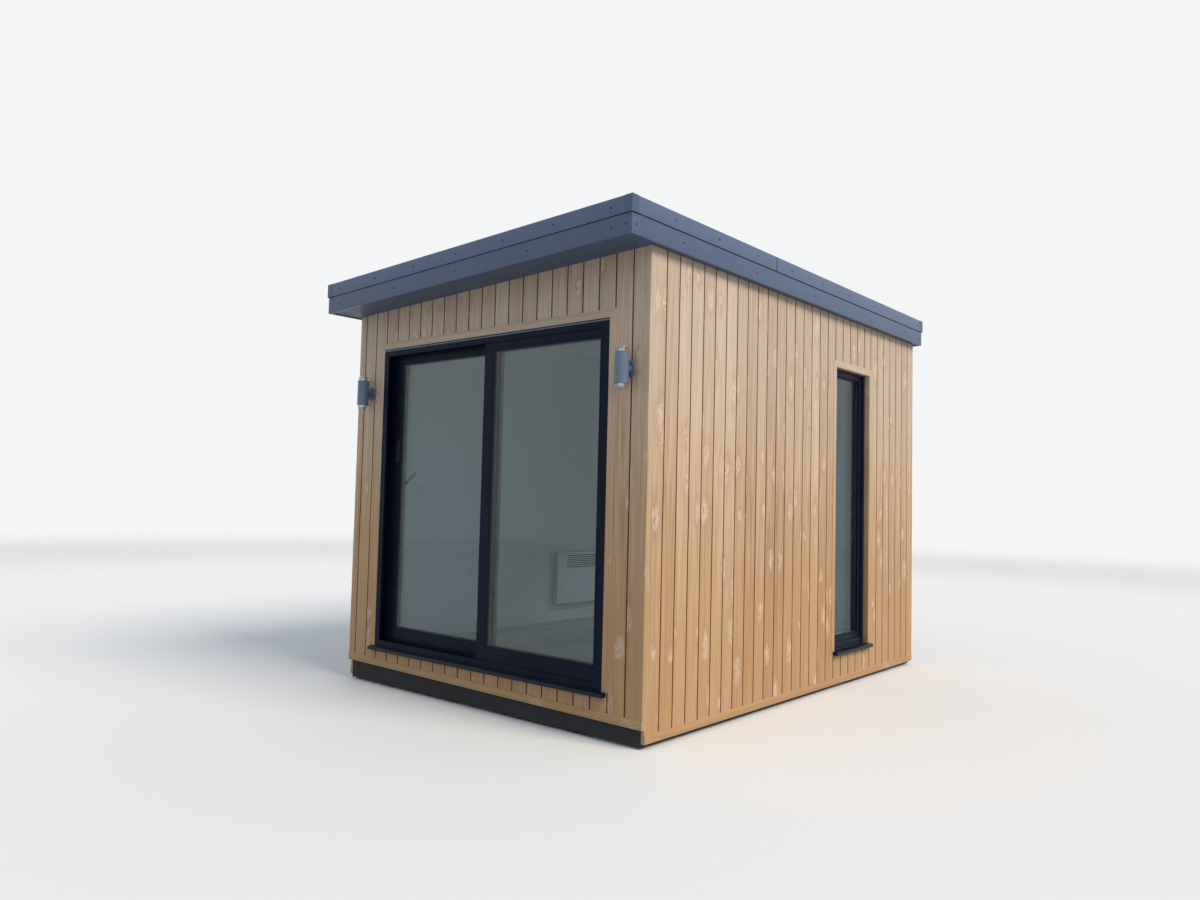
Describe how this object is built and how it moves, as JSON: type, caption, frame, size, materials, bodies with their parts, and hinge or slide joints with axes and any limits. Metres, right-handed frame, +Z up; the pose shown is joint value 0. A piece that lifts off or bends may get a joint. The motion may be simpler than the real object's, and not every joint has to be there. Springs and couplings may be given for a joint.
{
  "type": "garden office pod",
  "caption": "Timber-clad flat-roofed garden office pod with a sliding glazed patio door in front, a tall side window, outside wall lamps and a lined room.",
  "frame": {"origin": "on the ground, under the middle of the roof's outline", "axes": "+X along the front towards the high eaves and the window wall, +Y from the door into the pod, +Z up"},
  "size_m": [2.615, 3.796, 2.7411],
  "materials": {
    "concrete": "matte",
    "carcass_timber": "sawn",
    "black_board": "matte",
    "board": "matte",
    "floor_vinyl": "satin",
    "white_panel": "satin",
    "cladding_timber": "satin",
    "trim_timber": "satin",
    "white_board": "satin",
    "grey_sheet": "matte",
    "membrane": "matte",
    "grey_metal": "satin",
    "black_metal": "satin",
    "clear_glass": "gloss",
    "steel": "satin",
    "lamp_metal": "satin",
    "lamp_glass": "gloss",
    "white_metal": "satin",
    "white_plastic": "gloss"
  },
  "bodies": {
    "pod": {"base_pads": "concrete", "floor_frame": "carcass_timber", "plinth": "black_board", "floor_deck": "board", "floor_finish": "floor_vinyl", "front_wall_left": "white_panel", "front_wall_right": "white_panel", "front_wall_head": "white_panel", "left_wall": "white_panel", "back_wall": "white_panel", "right_wall": "white_panel", "front_cladding": "cladding_timber", "left_cladding": "cladding_timber", "back_cladding": "cladding_timber", "right_cladding": "cladding_timber", "corner_trims": "trim_timber", "base_trims": "trim_timber", "opening_trims": "trim_timber", "inner_linings": "white_board", "skirting": "white_board", "ceiling": "white_board", "soffit": "grey_sheet", "roof_deck": "carcass_timber", "roof_membrane": "membrane", "fascia": "grey_metal", "edge_trim": "grey_metal", "corner_covers": "grey_metal", "door_sill": "black_metal", "door_threshold": "black_metal", "door_head": "black_metal", "door_jambs": "black_metal", "fixed_panel": "black_metal", "fixed_glass": "clear_glass", "window_frame": "black_metal", "window_glass": "clear_glass", "window_sill": "black_metal", "wall_lamps": "lamp_metal", "lamp_lenses": "lamp_glass", "panel_heater": "white_metal", "wall_plates": "white_plastic"},
    "leaf": {"sliding_panel": "black_metal", "sliding_glass": "clear_glass", "rollers": "steel", "pull_handle": "grey_metal", "lever_plate": "black_metal"},
    "lever": {"lever_handle": "black_metal"}
  },
  "joints": [
    {"name": "door_slide", "type": "slide", "parent": "pod", "child": "leaf", "axis": [1, 0, 0], "range_m": [0, 0.84]},
    {"name": "lever_turn", "type": "hinge", "parent": "leaf", "child": "lever", "pos_m": [-0.871, -1.5352, 1.322], "axis": [0, 1, 0], "range_deg": [-53, 37]}
  ]
}
